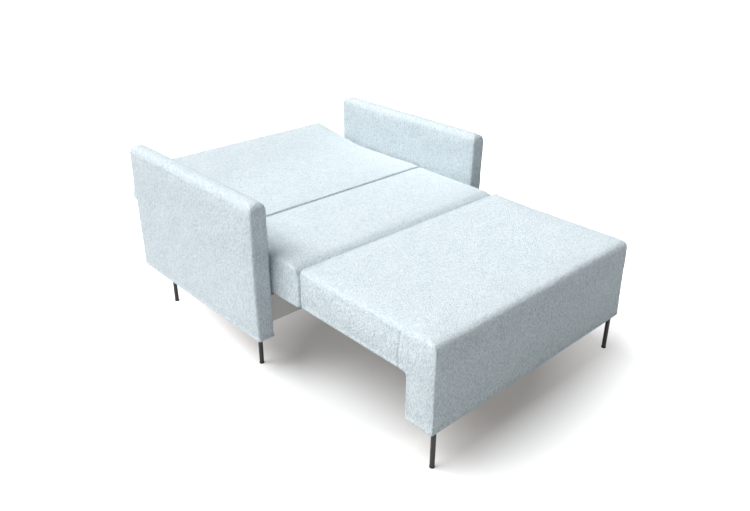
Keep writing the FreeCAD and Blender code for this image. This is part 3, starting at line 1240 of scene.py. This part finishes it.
@dataclass
class Hardware:
    """Finishes of the rigid pieces that keep their solid.

    Attributes:
        frame: the loaded frame, with its record and its nodes.
        birch_early: pale tone of the plywood.
        birch_late: dark tone of the plywood.
        timber_stretch: stretch of the timber's grain, which runs along the bed.
    """

    frame: dict
    birch_early: Colour = (0.72, 0.60, 0.45)
    birch_late: Colour = (0.56, 0.44, 0.30)
    timber_stretch: Point = (60.0, 2.0, 60.0)

    def dress(self) -> None:
        """Give each rigid node the finish of its material slot."""
        finishes = {
            "plywood": SawnWood("birch_plywood", self.birch_early, self.birch_late),
            "timber": SawnWood("planed_softwood", stretch=self.timber_stretch),
            "painted_board": FacedBoard("faced_board"),
            "black_plastic": Nylon("black_nylon"),
            "black_steel": PowderCoat("black_powder_coat"),
            "felt": Felt("grey_felt"),
            "zinc_steel": ZincSteel("zinc_plate"),
        }
        made = {slot: finish.make() for slot, finish in finishes.items()}
        for part in self.frame["record"]["subparts"]:
            slot = part["material_slot"]
            if slot not in made:
                continue
            node = self.frame["nodes"][part["node"]]
            for place in node.material_slots:
                place.material = made[slot]
            LOG.info("%s: %s", part["node"], slot)


@dataclass
class Studio:
    """Floor, light and camera of a plain studio.

    Attributes:
        camera_place: where the camera stands.
        camera_yaw: turn of the camera from +Y towards +X.
        camera_pitch: tilt of the camera below level.
        camera_roll: roll of the camera.
        lens: focal length in millimetres.
        sensor: width of the sensor in millimetres.
        shift: shift of the lens across and up, in widths of the picture.
        key_towards: direction in which the key light shines.
        key_strength: strength of the key light.
        key_spread: angle that the key light covers, in degrees.
        room_light: even light from all round.
        floor_reach: half the width of the floor.
        floor_dark: darker tone of the floor.
        floor_pale: paler tone of the floor.
        floor_roughness: roughness of the floor.
        near_painted_lift: painted light, a glow that brightens the floor in the middle of the shadow.
        far_painted_lift: painted light, a glow that brightens the floor until it turns white.
        shadow_middle: middle of the shadow.
        shadow_core: radius within which the shadow is kept.
        shadow_reach: radius beyond which the painted glow makes the floor white.
    """

    camera_place: Point = (-1.8649, -2.0977, 1.6510)
    camera_yaw: float = 0.7633
    camera_pitch: float = 0.4656
    camera_roll: float = 0.0124
    lens: float = 35.46
    sensor: float = 36.0
    shift: tuple[float, float] = (-0.0096, 0.0)
    key_towards: Point = (0.43, -0.42, -1.00)
    key_strength: float = 4.50
    key_spread: float = 50.0
    room_light: float = 0.14
    floor_reach: float = 40.0
    floor_dark: Colour = (0.600, 0.610, 0.615)
    floor_pale: Colour = (0.620, 0.630, 0.635)
    floor_roughness: float = 0.8
    near_painted_lift: float = 0.19
    far_painted_lift: float = 1.0
    shadow_middle: Point = (-0.10, -0.45, 0.0)
    shadow_core: float = 0.45
    shadow_reach: float = 1.20

    def build(self) -> None:
        """Make the whole studio."""
        self._floor()
        self._world()
        self._key()
        self._camera()

    @staticmethod
    def _seen(graph: Graph) -> Value:
        """Tell the rays that show the backdrop from those that light the object.

        Args:
            graph: graph to add the nodes to.

        Returns:
            One for rays from the camera, and for those that gloss and glass send on.
        """
        seen = graph.node("ShaderNodeLightPath", output="Is Camera Ray")
        glossy = graph.node("ShaderNodeLightPath", output="Is Glossy Ray")
        through = graph.node("ShaderNodeLightPath", output="Is Transmission Ray")
        return (seen + glossy + through).between(0.0, 1.0)

    def _floor(self) -> None:
        """Pale floor with a painted glow, seen only by the camera, that lightens the shadow and turns the
        floor white further out.
        """
        mesh = bpy.data.meshes.new("floor")
        reach = self.floor_reach
        corners = [(-reach, -reach, 0.0), (reach, -reach, 0.0), (reach, reach, 0.0), (-reach, reach, 0.0)]
        mesh.from_pydata(corners, [], [(0, 1, 2, 3)])
        floor = bpy.data.objects.new("floor", mesh)
        bpy.context.scene.collection.objects.link(floor)
        graph = Graph("studio_floor")
        place = graph.place()
        from_middle = graph.node("ShaderNodeVectorMath", {"operation": "SUBTRACT"},
                                 {0: place, 1: self.shadow_middle})
        away = graph.node("ShaderNodeVectorMath", {"operation": "LENGTH"}, {0: from_middle}, "Value")
        rise = away.between(self.shadow_core, self.shadow_reach)
        # Painted light: a glow for camera rays, slight in the shadow and full white further out, paints
        # over the cast shadow.
        lift = (rise * (self.far_painted_lift - self.near_painted_lift) + self.near_painted_lift) * self._seen(graph)
        cloud_scale = 3.0
        colour = graph.mix(graph.noise(place, cloud_scale), self.floor_dark, self.floor_pale)
        glow = graph.mix(lift, BLACK, WHITE)
        mesh.materials.append(graph.surface(Base_Color=colour, Roughness=self.floor_roughness,
                                            Specular_IOR_Level=0.0, Emission_Color=glow,
                                            Emission_Strength=1.0))

    def _world(self) -> None:
        """Even dim light all round, white where the camera looks at it."""
        world = bpy.data.worlds.new("studio")
        bpy.context.scene.world = world
        world.use_nodes = True
        graph = Graph("studio_world", world.node_tree)
        level = self._seen(graph) * (1.0 - self.room_light) + self.room_light
        light = graph.node("ShaderNodeBackground", None, {"Color": (*WHITE, 1.0), "Strength": level})
        graph.node("ShaderNodeOutputWorld", None, {"Surface": light})

    def _key(self) -> None:
        """Broad soft key light from above the left rear."""
        data = bpy.data.lights.new("key_light", "SUN")
        data.energy = self.key_strength
        data.angle = math.radians(self.key_spread)
        lamp = bpy.data.objects.new("key_light", data)
        lamp.rotation_euler = Vector(self.key_towards).to_track_quat("-Z", "Y").to_euler()
        bpy.context.scene.collection.objects.link(lamp)

    def _camera(self) -> None:
        """Camera at the photograph's angle."""
        forward = Vector((math.sin(self.camera_yaw) * math.cos(self.camera_pitch),
                          math.cos(self.camera_yaw) * math.cos(self.camera_pitch),
                          -math.sin(self.camera_pitch)))
        level = Vector((math.cos(self.camera_yaw), -math.sin(self.camera_yaw), 0.0))
        upright = level.cross(forward)
        right = math.cos(self.camera_roll) * level + math.sin(self.camera_roll) * upright
        up = -math.sin(self.camera_roll) * level + math.cos(self.camera_roll) * upright
        data = bpy.data.cameras.new("camera")
        data.sensor_width = self.sensor
        data.lens = self.lens
        data.shift_x, data.shift_y = self.shift
        camera = bpy.data.objects.new("camera", data)
        turn = Matrix((right, up, -forward)).transposed()
        camera.matrix_world = Matrix.Translation(self.camera_place) @ turn.to_4x4()
        bpy.context.scene.collection.objects.link(camera)
        bpy.context.scene.camera = camera


def main() -> None:
    """Load the frame and make every piece."""
    logging.basicConfig(level=logging.INFO)
    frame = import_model()
    bpy.context.scene.view_settings.view_transform = "Standard"
    Studio().build()
    pile = LoopedPile("ice_blue_pile").make()
    Upholstery(pile).build([
        Arm(-1).block(),
        Arm(1).block(),
        FrontSection().block(),
        MiddleSection().block(),
        BackSection().block(),
    ])
    Hardware(frame).dress()


if __name__ == "__main__":
    main()
